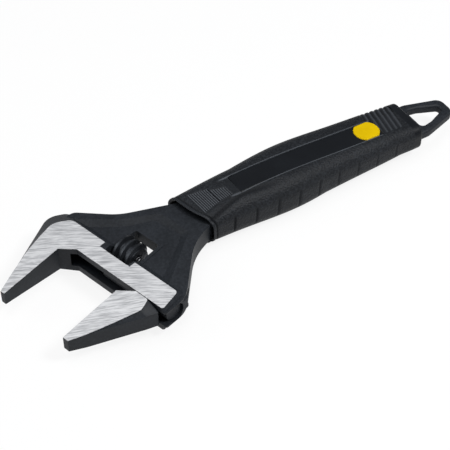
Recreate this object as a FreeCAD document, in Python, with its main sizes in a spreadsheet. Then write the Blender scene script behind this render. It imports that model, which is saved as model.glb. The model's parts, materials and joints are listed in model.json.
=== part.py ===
"""Adjustable wrench with thin jaws, a wide opening and a two-material grip.

Frame: the origin is the centre of the fixed jaw's gripping face, at half the head's thickness.
+X runs along the handle towards the hanging loop, +Y to the fixed jaw's side and +Z up through the
thickness. All sizes are millimetres and degrees.

The jaws are turned by jaw_angle against the handle, so the metal pieces are drawn in a jaw frame:
x goes from the jaws' tips to the throat, and y from the movable jaw to the fixed one. The grip is
drawn in a handle frame, whose x axis is the middle of the handle.
"""

import FreeCAD
import Part
import math
import os
import re

import Sketcher
from FreeCAD import Placement, Rotation, Vector

SIZES = {
    # jaws
    "jaw_angle": (17.0, "turn of the jaws against the handle"),
    "jaw_reach": (38.7, "tip of the jaws to the throat"),
    "jaw_opening": (38.4, "distance between the jaws as drawn"),
    "tip_thickness": (7.2, "thickness of the jaws at their tips"),
    "tip_width": (2.6, "width of a jaw's tip"),
    "tip_land": (1.2, "ground part of a jaw's tip"),
    "notch_reach": (5.3, "corner notch in each jaw, along the jaw"),
    "notch_depth": (7.3, "corner notch in each jaw, across it"),
    "bevel_foot": (3.0, "foot of the fixed jaw's bevels above mid-plane"),
    "blade_foot": (4.3, "foot of the movable jaw's bevels above mid-plane"),
    "blade_tip": (3.2, "width of the movable jaw's tip"),
    "jaw_back_x": (20.35, "bend in the fixed jaw's back, from its tip"),
    "jaw_back_y": (10.9, "bend in the fixed jaw's back"),
    "jaw_back_land": (8.2, "the same bend on the ground face"),
    "brow_y": (21.9, "highest corner of the fixed jaw"),
    "brow_land": (13.9, "the same corner on the ground face"),
    "brow_radius": (9.0, "rounding of the fixed jaw's highest corner"),
    "brow_drop": (5.5, "highest corner to the fixed jaw's shoulder"),
    "heel_width": (22.2, "movable jaw where it meets the head"),
    "heel_bend": (19.6, "bend in the movable jaw's back"),
    "heel_land": (15.8, "the same bend, on the ground face"),
    "heel_land_end": (14.6, "ground face of the movable jaw where it meets the head"),
    "heel_run": (6.3, "bend in the movable jaw's back to the throat"),
    "heel_radius": (3.0, "rounding of that bend"),
    "jaw_fit": (0.3, "movable jaw to the head's throat"),
    # head
    "head_thickness": (14.7, "over the ground faces"),
    "head_length": (63.7, "fixed jaw's face to the head's far end"),
    "land_width": (11.9, "throat to the far edge of the ground land"),
    "land_slope": (4.6, "slope from the land down to the web"),
    "land_end": (1.6, "head's far end to the end of the land"),
    "rim_thickness": (10.0, "outer rim of the web"),
    "rim_width": (3.2, "outer rim of the web"),
    "web_thickness": (5.8, "bottom of the dish in the web"),
    "dish_slope": (2.6, "slope round the dish"),
    "crown_x": (14.8, "web's highest corner, from the throat"),
    "crown_y": (16.6, "web's highest corner"),
    "nape_x": (30.5, "inner bend of the upper outline, from the throat"),
    "nape_y": (3.9, "inner bend of the upper outline, below the origin"),
    "nape_radius": (30.0, "inner bend of the upper outline"),
    "chin_x": (13.4, "outer bend of the lower outline, from the throat"),
    "chin_radius": (16.0, "outer bend of the lower outline"),
    "hollow_x": (40.4, "inner bend of the lower outline, from the throat"),
    "hollow_y": (43.4, "inner bend of the lower outline, below the origin"),
    "hollow_radius": (35.0, "inner bend of the lower outline"),
    "neck_above": (6.2, "upper outline above the handle's axis at the neck"),
    "neck_upper": (59.65, "throat to where the upper outline meets the neck"),
    "neck_lower": (76.25, "throat to where the lower outline meets the shank"),
    "neck_end": (81.65, "throat to the thick neck's end inside the grip"),
    "dish_end": (46.65, "throat to the dish's end at the neck"),
    # slideway and slide bar
    "slide_depth": (6.85, "throat to the slide's axis"),
    "slide_radius": (4.7, "slide bar of the movable jaw"),
    "slide_fit": (0.3, "clearance round the slide bar and the neck"),
    "slot_height": (8.0, "slot that the movable jaw's neck runs in"),
    "slot_start": (1.0, "fixed jaw's face to the slot's blind end"),
    "slide_stop": (16.8, "slideway's blind end past the fixed jaw's face"),
    "rack_flat": (0.3, "flat taken off the slide bar under the teeth"),
    "inner_tail": (16.5, "slide bar in front of the movable jaw's face"),
    "outer_tail": (23.6, "slide bar behind the movable jaw's face"),
    # worm, its pin and its spring
    "worm_pitch": (4.0, "pitch of the worm and of the rack"),
    "worm_radius": (8.3, "tips of the thread"),
    "worm_depth": (1.9, "depth of the thread and of the rack's teeth"),
    "worm_length": (11.5, "length of the worm"),
    "worm_seat": (0.3, "worm to the window's first wall, which it is pressed towards"),
    "tip_fit": (0.35, "clearance over the tips of thread and rack"),
    "flank_fit": (0.25, "clearance at each flank of thread and rack"),
    "flank_angle": (20.0, "slope of a flank"),
    "window_start": (17.0, "fixed jaw's face to the worm window"),
    "window_length": (15.2, "window, along the worm"),
    "window_near": (1.4, "window past the worm on the land's side"),
    "window_far": (3.5, "window past the worm on the neck's side"),
    "window_skew": (1.1, "window's walls on the neck's side, towards the fixed jaw"),
    "window_rim": (1.6, "raised rim round the window"),
    "pin_boss": (1.6, "raised rim past the end of the worm pin's bore"),
    "window_rim_thickness": (6.4, "raised rim round the window, over both faces"),
    "pin_radius": (2.0, "worm pin"),
    "pin_fit": (0.05, "running clearance round the worm pin"),
    "pin_end_gap": (0.2, "end of the worm pin to the bottom of its bore"),
    "pin_seat": (4.0, "worm pin past the window's first wall"),
    "pin_head_radius": (2.9, "threaded head of the worm pin"),
    "pin_head_length": (5.0, "threaded head of the worm pin"),
    "pin_recess": (6.0, "head's far end to the worm pin's head"),
    "driver_slot": (0.9, "screwdriver slot in the worm pin's head"),
    "driver_depth": (1.4, "depth of that slot"),
    "spring_wire": (0.3, "radius of the worm spring's wire"),
    "spring_radius": (2.75, "worm spring, to the middle of its wire"),
    "spring_turns": (4.0, "turns of the worm spring"),
    "spring_pocket": (3.2, "depth of the worm's pocket for the spring"),
    "spring_fit": (0.3, "clearance round the worm spring"),
    "spring_end_gap": (0.05, "window's last wall to the worm spring"),
    # shank and loop
    "handle_drop": (3.5, "origin to the handle's axis, across"),
    "handle_end": (209.4, "origin to the grip's end"),
    "shank_width": (15.0, "shank inside the grip"),
    "shank_thickness": (8.0, "shank inside the grip"),
    "shank_end": (12.0, "grip's end to the end of the thick shank"),
    "loop_width": (23.6, "hanging loop across its shoulders"),
    "loop_length": (25.9, "hanging loop past the grip"),
    "loop_nose": (11.6, "hanging loop across its end"),
    "loop_thickness": (5.0, "hanging loop"),
    "loop_wall": (4.3, "ring of the hanging loop"),
    "loop_hole_start": (4.4, "grip's end to the loop's hole"),
    "loop_rounding": (1.4, "rounded edges of the loop"),
    # grip
    "skin_thickness": (1.6, "soft skin over the hard core"),
    "skin_fit": (0.05, "clearance between the soft skin and the hard core"),
    "edge_along": (77.9, "bend of the grip's front edge, along the handle"),
    "edge_across": (7.3, "bend of the grip's front edge, below the handle's axis"),
    "edge_turn_upper": (12.5, "grip's front edge against a square cut, above the bend"),
    "edge_turn_lower": (31.0, "grip's front edge against a square cut, below the bend"),
    "edge_curve": (70.0, "rounding of the grip's front edge in plan"),
    "core_setback": (4.0, "grip's front edge to the hard core"),
    "tang_fit": (0.02, "hard core to the shank moulded in it"),
    "panel_width": (12.4, "smooth panel between the soft shoulders"),
    "panel_offset": (-1.1, "middle of the panels and inlays across the handle"),
    "panel_sink": (0.3, "panel below the soft shoulders"),
    "end_rounding": (1.2, "rounded edge of the grip's end"),
    "inlay_along": (182.3, "origin to the inlay's centre"),
    "inlay_radius": (6.8, "inlay"),
    "inlay_flat": (5.8, "inlay's flats from its centre"),
    "inlay_level": (9.1, "inlay's top above mid-plane"),
    "inlay_depth": (2.4, "inlay's thickness"),
    "inlay_rounding": (0.5, "rounded edge of the inlay"),
    "inlay_fit": (0.1, "clearance round the inlay"),
}

# Stations along the grip: place, sideways offset, half width, half thickness, and the corner
# radius as a share of the half thickness. The butt's place is counted back from the grip's end.
STATIONS = {
    "lip": (68.0, -3.4, 13.6, 7.6, 0.7),
    "collar": (84.0, -2.6, 13.4, 9.0, 0.75),
    "shoulder": (104.0, -1.5, 14.7, 10.5, 0.8),
    "belly": (136.0, -0.1, 17.0, 11.0, 0.8),
    "waist": (165.0, 1.0, 15.0, 9.6, 0.8),
    "tail": (196.5, 0.4, 13.9, 8.1, 0.75),
    "hem": (204.5, 0.0, 13.7, 7.6, 0.7),
    "butt": (0.0, -0.2, 13.4, 7.3, 0.65),
}
STATION_FIELDS = ("along", "offset", "half_width", "half_thickness", "rounding")

# Places that several pieces share, as formulas of the sizes.
TIP = "-jaw_reach / 2"
THROAT = "jaw_reach / 2"
LAND = f"({THROAT} + land_width)"
NECK_END = f"({THROAT} + neck_end)"
DISH_END = f"({THROAT} + dish_end)"
SLOPE_FOOT = f"({LAND} + land_slope)"
HALF_HEAD = "head_thickness / 2"
SLIDE_AXIS = f"({THROAT} + slide_depth)"
BORE_RADIUS = "(slide_radius + slide_fit)"
RACK_TOP = f"({SLIDE_AXIS} + slide_radius - rack_flat)"
WORM_CORE = "(worm_radius - worm_depth)"
WORM_AXIS = f"({RACK_TOP} + tip_fit + {WORM_CORE})"
WINDOW_NEAR = f"({WORM_AXIS} - worm_radius - window_near)"
WINDOW_FAR = f"({WORM_AXIS} + worm_radius + window_far)"
WINDOW_END = "(window_start + window_length)"
HALF_SHANK = "shank_width / 2"
HALF_LOOP = "loop_width / 2"
LOOP_END = "(handle_end + loop_length)"
WORM_FOOT = "(-window_start - worm_seat - worm_length)"
SPRING_SIDE = f"({WORM_AXIS} + spring_radius + spring_wire - {WINDOW_NEAR})"
SPRING_LIFT = f"(window_skew * {SPRING_SIDE} / ({WINDOW_FAR} - {WINDOW_NEAR}) + spring_end_gap)"
HALF_FLANK = "(worm_depth * tan(flank_angle) / 2)"
PANEL_STATIONS = ["shoulder", "belly", "waist", "tail"]
FAR = 200

doc = FreeCAD.newDocument("adjustable_wrench")
sheet = doc.addObject("Spreadsheet::Sheet", "sizes")


# ---------------------------------------------------------------- sizes and formulas


def fill_sheet():
    """Write every driving size into the sheet, one row each."""
    rows = dict(SIZES)
    for station, numbers in STATIONS.items():
        for field, number in zip(STATION_FIELDS, numbers):
            rows[f"{station}_{field}"] = (number, f"grip's {station}, {field.replace('_', ' ')}")
    for row, (alias, (number, note)) in enumerate(rows.items(), start=1):
        sheet.set(f"A{row}", note)
        sheet.set(f"B{row}", str(number))
        sheet.setAlias(f"B{row}", alias)
    doc.recompute()


def formula(text):
    """The text with every size's name pointing into the sheet."""
    return re.sub(r"\b[a-z]+(?:_[a-z]+)+\b", r"sizes.\g<0>", str(text))


def value(text):
    """What a formula comes to."""
    return float(sheet.evalExpression(formula(text)))


def bind(item, path, text):
    """Tie one property of an object to a formula."""
    item.setExpression(path, formula(text))


def in_jaw_frame(along, across):
    """A point of the handle frame as two formulas of the jaw frame."""
    drop = f"(({across}) - handle_drop)"
    x = f"({along}) * cos(jaw_angle) + {drop} * sin(jaw_angle)"
    y = f"-({along}) * sin(jaw_angle) + {drop} * cos(jaw_angle)"
    return x, y


# ---------------------------------------------------------------- bodies, sketches, features


def make_body(name, x="0", y="0"):
    """A body in the jaw frame, whose own origin lies at x, y of that frame."""
    body = doc.addObject("PartDesign::Body", name)
    body.Label = name
    body.Placement = Placement(Vector(0, 0, 0), Rotation(Vector(0, 0, 1), value("jaw_angle")))
    bind(body, "Placement.Rotation.Angle", "jaw_angle")
    bind(body, "Placement.Base.x", f"({x}) * cos(jaw_angle) - ({y}) * sin(jaw_angle)")
    bind(body, "Placement.Base.y", f"({x}) * sin(jaw_angle) + ({y}) * cos(jaw_angle)")
    return body


def new_sketch(body, name, plane="XY_Plane", lift="0"):
    """An empty sketch on one of the body's own origin planes, lifted off it by a formula."""
    sketch = body.newObject("Sketcher::SketchObject", name)
    planes = [feature for feature in body.Origin.OriginFeatures if feature.Role == plane]
    sketch.AttachmentSupport = [(planes[0], "")]
    sketch.MapMode = "FlatFace"
    bind(sketch, "AttachmentOffset.Base.z", lift)
    return sketch


def turn_to_handle(sketch):
    """Turn a sketch of the jaw frame so that it is drawn in the handle frame."""
    x, y = in_jaw_frame("0", "0")
    bind(sketch, "AttachmentOffset.Base.x", x)
    bind(sketch, "AttachmentOffset.Base.y", y)
    bind(sketch, "AttachmentOffset.Rotation.Angle", "-jaw_angle")


def dimension(sketch, constraint, text):
    """Add a constraint whose value is a formula."""
    index = sketch.addConstraint(constraint)
    bind(sketch, f"Constraints[{index}]", text)


def add_loop(sketch, corners):
    """Draw a closed loop through corners (x, y) or (x, y, radius), all of them formulas."""
    count = len(corners)
    spots = [Vector(value(corner[0]), value(corner[1]), 0) for corner in corners]
    radii = [value(corner[2]) if len(corner) > 2 else 0 for corner in corners]
    entries = []
    exits = []
    arcs = []
    for index, spot in enumerate(spots):
        inward = (spot - spots[index - 1]).normalize()
        outward = (spots[(index + 1) % count] - spot).normalize()
        setback = radii[index] * math.tan(inward.getAngle(outward) / 2)
        entries.append(spot - inward * setback)
        exits.append(spot + outward * setback)
        arcs.append(corner_arc(entries[-1], exits[-1], inward, outward, radii[index]))
    lines = []
    for index in range(count):
        run = Part.LineSegment(exits[index - 1], entries[index])
        lines.append(sketch.addGeometry(run, False))
    for index, corner in enumerate(corners):
        run_in = lines[index]
        run_out = lines[(index + 1) % count]
        point = sketch.addGeometry(Part.Point(spots[index]), True)
        dimension(sketch, Sketcher.Constraint("DistanceX", -1, 1, point, 1, spots[index].x), corner[0])
        dimension(sketch, Sketcher.Constraint("DistanceY", -1, 1, point, 1, spots[index].y), corner[1])
        if not radii[index]:
            sketch.addConstraint(Sketcher.Constraint("Coincident", run_in, 2, point, 1))
            sketch.addConstraint(Sketcher.Constraint("Coincident", run_out, 1, point, 1))
            continue
        shape, first, last = arcs[index]
        arc = sketch.addGeometry(shape, False)
        sketch.addConstraint(Sketcher.Constraint("PointOnObject", point, 1, run_in))
        sketch.addConstraint(Sketcher.Constraint("PointOnObject", point, 1, run_out))
        sketch.addConstraint(Sketcher.Constraint("Tangent", run_in, 2, arc, first))
        sketch.addConstraint(Sketcher.Constraint("Tangent", arc, last, run_out, 1))
        dimension(sketch, Sketcher.Constraint("Radius", arc, radii[index]), corner[2])


def corner_arc(entry, leave, inward, outward, radius):
    """The rounding of a corner, with the numbers of its first and last point on the way round."""
    if not radius:
        return None
    left_turn = inward.cross(outward).z > 0
    side = Vector(-inward.y, inward.x, 0) if left_turn else Vector(inward.y, -inward.x, 0)
    centre = entry + side * radius
    start = (entry - centre) if left_turn else (leave - centre)
    end = (leave - centre) if left_turn else (entry - centre)
    angles = [math.atan2(spoke.y, spoke.x) for spoke in (start, end)]
    shape = Part.ArcOfCircle(Part.Circle(centre, Vector(0, 0, 1), radius), *angles)
    return (shape, 1, 2) if left_turn else (shape, 2, 1)


def add_circle(sketch, x, y, radius):
    """Draw a circle whose centre and radius are formulas."""
    spot = Vector(value(x), value(y), 0)
    circle = sketch.addGeometry(Part.Circle(spot, Vector(0, 0, 1), value(radius)), False)
    dimension(sketch, Sketcher.Constraint("DistanceX", -1, 1, circle, 3, spot.x), x)
    dimension(sketch, Sketcher.Constraint("DistanceY", -1, 1, circle, 3, spot.y), y)
    dimension(sketch, Sketcher.Constraint("Radius", circle, value(radius)), radius)


def outline(body, name, corners, plane="XY_Plane", lift="0"):
    """A sketch with one closed loop."""
    sketch = new_sketch(body, name, plane, lift)
    add_loop(sketch, corners)
    return sketch


def pad(body, name, sketch, thickness):
    """Thicken a sketch evenly to both sides of its plane."""
    feature = body.newObject("PartDesign::Pad", name)
    feature.Profile = sketch
    feature.SideType = "Symmetric"
    bind(feature, "Length", thickness)
    doc.recompute()
    return feature


def pocket(body, name, sketch, depth, one_way=None):
    """Cut a sketch out evenly to both sides, or one way: True for along the sketch's normal."""
    before = body.Tip.Shape
    feature = body.newObject("PartDesign::Pocket", name)
    feature.Profile = sketch
    feature.SideType = "Symmetric" if one_way is None else "One side"
    feature.Reversed = bool(one_way)
    bind(feature, "Length", depth)
    doc.recompute()
    require_less(name, before, feature)
    return feature


def require_less(name, before, feature):
    """Stop if a cut took nothing away or left anything outside what it cut."""
    box = before.BoundBox
    box.enlarge(0.1)
    outside = [vertex for vertex in feature.Shape.Vertexes if not box.isInside(vertex.Point)]
    if feature.Shape.Volume > before.Volume - 0.01 or outside:
        raise RuntimeError(f"{name} is not a plain cut")


def loft(body, name, kind, first, last):
    """Join two sketches with straight faces, added (AdditiveLoft) or taken away."""
    before = body.Tip.Shape if body.Tip else None
    feature = body.newObject(f"PartDesign::{kind}", name)
    feature.Profile = first
    feature.Sections = [last]
    feature.Ruled = True
    doc.recompute()
    if kind == "SubtractiveLoft":
        require_less(name, before, feature)
    return feature


def fillet(body, name, chosen, radius):
    """Round the edges of the body that chosen accepts."""
    base = body.Tip
    names = [f"Edge{number}" for number, edge in enumerate(base.Shape.Edges, start=1) if chosen(edge)]
    feature = body.newObject("PartDesign::Fillet", name)
    feature.Base = (base, names)
    bind(feature, "Radius", radius)
    doc.recompute()
    return feature


def taper_jaw(body, reach):
    """Cut both faces of a jaw down to its tip's thickness; reach is the length past the tip."""
    fall = f"({HALF_HEAD} - tip_thickness / 2) / jaw_reach * {reach}"
    sketch = new_sketch(body, f"{body.Name}_taper", "XZ_Plane")
    for sign in ("", "-"):
        corners = [
            (THROAT, f"{sign}({HALF_HEAD})"),
            (f"{TIP} - {reach}", f"{sign}(tip_thickness / 2 - {fall})"),
            (f"{TIP} - {reach}", f"{sign}head_thickness"),
            (THROAT, f"{sign}head_thickness"),
        ]
        add_loop(sketch, corners)
    pocket(body, f"{body.Name}_taper_cut", sketch, f"{FAR}")


# ---------------------------------------------------------------- forged body


def forged_body():
    """Fixed jaw, head, neck, shank and hanging loop in one forging."""
    body = make_body("forged_body")
    add_shank(body)
    add_hanging_loop(body)
    add_web(body)
    add_fixed_jaw(body)
    cut_window(body)
    taper_jaw(body, 6)
    cut_slideway(body)
    cut_pin_bore(body)
    return body


def plate_corners():
    """Outline of the head's plate and of the neck down to the shank."""
    return [
        (THROAT, "-notch_depth - 5"),
        (THROAT, "-head_length", "1.5"),
        (f"{THROAT} + chin_x", "-head_length", "chin_radius"),
        (f"{THROAT} + hollow_x", "-hollow_y", "hollow_radius"),
        (*in_jaw_frame(f"{THROAT} + neck_lower", f"-{HALF_SHANK}"), "12"),
        in_jaw_frame(NECK_END, f"-{HALF_SHANK}"),
        in_jaw_frame(NECK_END, "neck_above"),
        (*in_jaw_frame(f"{THROAT} + neck_upper", "neck_above"), "12"),
        (f"{THROAT} + nape_x", "-nape_y", "nape_radius"),
        (f"{THROAT} + crown_x", "crown_y", "5"),
        (f"{THROAT} + land_width / 2", "brow_land / 2"),
    ]


def add_web(body):
    """The head's plate down to the neck, dished on both faces inside a rim."""
    sketch = outline(body, "web_outline", plate_corners())
    pad(body, "web_plate", sketch, "rim_thickness")
    for side, sign in (("upper", ""), ("lower", "-")):
        brim = outline(body, f"dish_brim_{side}", dish_corners("0"), lift=f"{sign}rim_thickness / 2")
        floor_lift = f"{sign}web_thickness / 2"
        floor = outline(body, f"dish_floor_{side}", dish_corners("dish_slope"), lift=floor_lift)
        loft(body, f"dish_{side}", "SubtractiveLoft", brim, floor)


def dish_corners(inset):
    """Outline of the dish, drawn in by inset from the rim's inner edge."""
    edge = f"(rim_width + {inset})"
    return [
        (f"{THROAT} + land_width / 2", f"-head_length + 2.2 * {edge}"),
        (f"{THROAT} + hollow_x - 0.5 * {edge}", f"-hollow_y + 1.2 * {edge}", "hollow_radius"),
        (*in_jaw_frame(f"{DISH_END} + 6 - 1.3 * {inset}", f"-{HALF_SHANK} - 6 + {inset}"), "4"),
        (*in_jaw_frame(f"{DISH_END} - 1.3 * {inset}", f"neck_above - 1 - 0.5 * {inset}"), "3"),
        (f"{THROAT} + nape_x - 0.4 * {edge}", f"-nape_y - 1.1 * {edge}", "nape_radius"),
        (f"{THROAT} + crown_x - 0.4 * {edge}", f"crown_y - 1.7 * {edge}", "3"),
        (f"{THROAT} + land_width / 2", f"crown_y - 2.4 * {edge}"),
    ]


def add_fixed_jaw(body):
    """The fixed jaw with the ground land behind the throat, bevelled all round its outside."""
    foot = jaw_block_corners("tip_width", "jaw_back_y", "brow_y", "brow_radius", SLOPE_FOOT, "0")
    land = jaw_block_corners("tip_land", "jaw_back_land", "brow_land", "brow_radius - 1", LAND, "land_end")
    pad(body, "jaw_block", outline(body, "jaw_foot", foot), "2 * bevel_foot")
    for side, sign in (("upper", ""), ("lower", "-")):
        low = outline(body, f"bevel_foot_{side}", foot, lift=f"{sign}bevel_foot")
        high = outline(body, f"ground_face_{side}", land, lift=f"{sign}{HALF_HEAD}")
        loft(body, f"bevel_{side}", "AdditiveLoft", low, high)


def jaw_block_corners(tip, back, brow, brow_radius, far_edge, short):
    """Outline of the fixed jaw and the land behind the throat."""
    return [
        (TIP, "0"),
        (TIP, tip),
        (f"{TIP} + jaw_back_x", back),
        (f"{THROAT} + land_width / 3 + ({brow} - brow_land) / 2", brow, brow_radius),
        (far_edge, f"{brow} - brow_drop", "5"),
        (far_edge, f"-head_length + 2 * ({short}) + 0.5", "2"),
        (THROAT, f"-head_length + {short}", "1"),
        (THROAT, "-notch_depth"),
        (f"{THROAT} - notch_reach", "0"),
    ]


def cut_window(body):
    """The window that the worm turns in, with a low rim on the web round it."""
    rim = [
        (LAND, "-window_start + pin_seat + pin_boss"),
        (f"{WORM_AXIS} + pin_head_radius", "-window_start + pin_seat + pin_boss", "2"),
        (f"{WINDOW_FAR} + window_rim", "-window_start + window_skew + window_rim", "1"),
        (f"{WINDOW_FAR} + window_rim", f"-{WINDOW_END} + window_skew - window_rim", "1"),
        (LAND, f"-{WINDOW_END} - window_rim"),
    ]
    pad(body, "window_rim", outline(body, "window_rim_outline", rim), "window_rim_thickness")
    opening = [
        (WINDOW_NEAR, "-window_start", "1.5"),
        (WINDOW_FAR, "-window_start + window_skew", "1.5"),
        (WINDOW_FAR, f"-{WINDOW_END} + window_skew", "1.5"),
        (WINDOW_NEAR, f"-{WINDOW_END}", "1.5"),
    ]
    pocket(body, "window", outline(body, "window_outline", opening), f"{FAR}")


def cut_slideway(body):
    """The round slideway from the head's far end, and the slot that opens it to the throat."""
    bore = new_sketch(body, "slideway_circle", "XZ_Plane", "-slide_stop")
    add_circle(bore, SLIDE_AXIS, "0", BORE_RADIUS)
    pocket(body, "slideway", bore, f"{FAR}", one_way=True)
    slot = [
        (f"{THROAT} - 2", "-slot_start"),
        (SLIDE_AXIS, "-slot_start"),
        (SLIDE_AXIS, "-head_length - 5"),
        (f"{THROAT} - 2", "-head_length - 5"),
    ]
    pocket(body, "slot", outline(body, "slot_outline", slot), "slot_height")


def cut_pin_bore(body):
    """The worm pin's bore: its head's seat from the far end, and a running bore past the window."""
    seat = new_sketch(body, "pin_head_circle", "XZ_Plane", f"head_length - pin_recess - pin_head_length")
    add_circle(seat, WORM_AXIS, "0", "pin_head_radius + pin_fit")
    pocket(body, "pin_head_seat", seat, "pin_head_length + 2 * pin_recess", one_way=True)
    bore = new_sketch(body, "pin_circle", "XZ_Plane", "window_start - pin_seat")
    add_circle(bore, WORM_AXIS, "0", "pin_radius + pin_fit")
    pocket(body, "pin_bore", bore, "head_length - window_start + pin_seat", one_way=True)


def add_shank(body):
    """The flat shank inside the grip."""
    shank = [
        (f"{NECK_END} - 8", f"-{HALF_SHANK}"),
        ("handle_end - shank_end", f"-{HALF_SHANK}"),
        ("handle_end - shank_end", HALF_SHANK),
        (f"{NECK_END} - 8", HALF_SHANK),
    ]
    sketch = outline(body, "shank_outline", shank)
    turn_to_handle(sketch)
    pad(body, "shank", sketch, "shank_thickness")


def add_hanging_loop(body):
    """The flat loop behind the grip, with rounded edges."""
    root = "handle_end - shank_end - 5"
    outer = [(root, f"-{HALF_SHANK}"), ("handle_end - 9", f"-{HALF_SHANK}", "3")]
    outer += [("handle_end - 4", f"-{HALF_LOOP}", "3"), ("handle_end + 6", f"-{HALF_LOOP}", "9")]
    outer += [(LOOP_END, "-loop_nose / 2", "5")]
    inner = [
        ("handle_end + loop_hole_start", f"-({HALF_LOOP} - loop_wall - 0.3)", "2"),
        ("handle_end + loop_length / 2 - 1.9", f"-({HALF_LOOP} - 1.35 * loop_wall)", "6"),
        (f"{LOOP_END} - 1.1 * loop_wall", "-(loop_nose / 2 - 0.95 * loop_wall)", "1.4"),
    ]
    sketch = new_sketch(body, "loop_outline")
    for half in (outer, inner):
        add_loop(sketch, half + [mirrored(corner) for corner in reversed(half)])
    turn_to_handle(sketch)
    pad(body, "loop", sketch, "loop_thickness")
    fillet(body, "loop_edges", is_loop_edge, "loop_rounding")


def mirrored(corner):
    """A corner of the handle frame on the other side of the handle's axis."""
    return (corner[0], f"-({corner[1]})", *corner[2:])


def is_loop_edge(edge):
    """True for an edge of the loop's two flat faces, outside the grip."""
    turn = math.radians(value("jaw_angle"))
    for vertex in edge.Vertexes:
        along = vertex.X * math.cos(turn) - vertex.Y * math.sin(turn)
        if along < value("handle_end - 2") or abs(abs(vertex.Z) - value("loop_thickness / 2")) > 0.001:
            return False
    return True


# ---------------------------------------------------------------- movable jaw


def movable_jaw():
    """The movable jaw: its blade, the neck in the slot and the slide bar with the rack."""
    body = make_body("movable_jaw", "0", "-jaw_opening")
    foot = movable_jaw_corners("blade_tip", "heel_bend", "heel_width")
    land = movable_jaw_corners("tip_land", "heel_land", "heel_land_end")
    pad(body, "blade", outline(body, "blade_foot", foot), "2 * blade_foot")
    for side, sign in (("upper", ""), ("lower", "-")):
        low = outline(body, f"blade_foot_{side}", foot, lift=f"{sign}blade_foot")
        high = outline(body, f"blade_face_{side}", land, lift=f"{sign}{HALF_HEAD}")
        loft(body, f"blade_bevel_{side}", "AdditiveLoft", low, high)
    taper_jaw(body, 6)
    add_neck(body)
    add_slide_bar(body)
    cut_rack(body)
    return body


def movable_jaw_corners(tip, bend, heel):
    """Outline of the movable jaw's blade."""
    base = f"{THROAT} - jaw_fit"
    return [
        (TIP, "0"),
        (TIP, f"-{tip}"),
        (f"{THROAT} - heel_run", f"-{bend}", "heel_radius"),
        (base, f"-{heel}", "1"),
        (base, "-notch_depth"),
        (f"{base} - notch_reach", "0"),
    ]


def add_neck(body):
    """The neck that joins the blade to the slide bar through the slot."""
    neck = [
        (f"{THROAT} - 3", "-notch_depth - 0.5"),
        (SLIDE_AXIS, "-notch_depth - 0.5"),
        (SLIDE_AXIS, "-heel_land"),
        (f"{THROAT} - 3", "-heel_land"),
    ]
    pad(body, "neck", outline(body, "neck_outline", neck), "slot_height - 2 * slide_fit")


def add_slide_bar(body):
    """The round bar that runs in the slideway, flat where the rack's teeth end."""
    circle = new_sketch(body, "slide_circle", "XZ_Plane", "-inner_tail")
    add_circle(circle, SLIDE_AXIS, "0", "slide_radius")
    bar = body.newObject("PartDesign::Pad", "slide_bar")
    bar.Profile = circle
    bind(bar, "Length", "inner_tail + outer_tail")
    doc.recompute()
    flat = [
        (RACK_TOP, "inner_tail + 1"),
        (f"{RACK_TOP} + 5", "inner_tail + 1"),
        (f"{RACK_TOP} + 5", "-outer_tail - 1"),
        (RACK_TOP, "-outer_tail - 1"),
    ]
    pocket(body, "slide_flat", outline(body, "slide_flat_outline", flat), "4 * slide_radius")


def cut_rack(body):
    """The rack's tooth spaces, each leaning by the thread's lead angle."""
    lead = math.atan(value("worm_pitch / (2 * pi * (worm_radius - worm_depth / 2))"))
    floor = f"(worm_pitch / 4 - {HALF_FLANK} + flank_fit / 2)"
    mouth = f"(worm_pitch / 4 + {HALF_FLANK} + flank_fit / 2 + tan(flank_angle))"
    last = value(f"(inner_tail + outer_tail - flank_fit + {mouth}) / worm_pitch - 0.5")
    for number in range(math.ceil(last)):
        middle = f"(-outer_tail + ({number} + 0.5) * worm_pitch)"
        space = [
            (f"{RACK_TOP} - worm_depth", f"{middle} - {floor}"),
            (f"{RACK_TOP} + 1", f"{middle} - {mouth}"),
            (f"{RACK_TOP} + 1", f"{middle} + {mouth}"),
            (f"{RACK_TOP} - worm_depth", f"{middle} + {floor}"),
        ]
        sketch = outline(body, f"tooth_space_{number + 1}", space)
        cut = pocket(body, f"tooth_cut_{number + 1}", sketch, "4 * slide_radius")
        cut.UseCustomVector = True
        cut.Direction = Vector(0, math.tan(lead), 1)
    doc.recompute()


# ---------------------------------------------------------------- worm, pin and spring


def adjusting_worm():
    """The worm, whose thread drives the rack; its own y axis is the axis it turns about."""
    body = make_body("adjusting_worm", WORM_AXIS, WORM_FOOT)
    add_cylinder(body, "blank", "0", "worm_radius", "worm_length")
    cut_thread(body)
    bore = new_sketch(body, "worm_bore_circle", "XZ_Plane")
    add_circle(bore, "0", "0", "pin_radius + pin_fit")
    pocket(body, "worm_bore", bore, f"{FAR}")
    seat = new_sketch(body, "spring_seat_circle", "XZ_Plane", "-spring_pocket")
    add_circle(seat, "0", "0", "spring_radius + spring_wire + spring_fit")
    pocket(body, "spring_seat", seat, "2 * spring_pocket", one_way=True)
    return body


def add_cylinder(body, name, start, radius, length):
    """A round bar about the body's own y axis, from start towards +y."""
    circle = new_sketch(body, f"{name}_circle", "XZ_Plane", f"-({start})")
    add_circle(circle, "0", "0", radius)
    feature = body.newObject("PartDesign::Pad", name)
    feature.Profile = circle
    feature.Reversed = True
    bind(feature, "Length", length)
    doc.recompute()
    return feature


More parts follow.
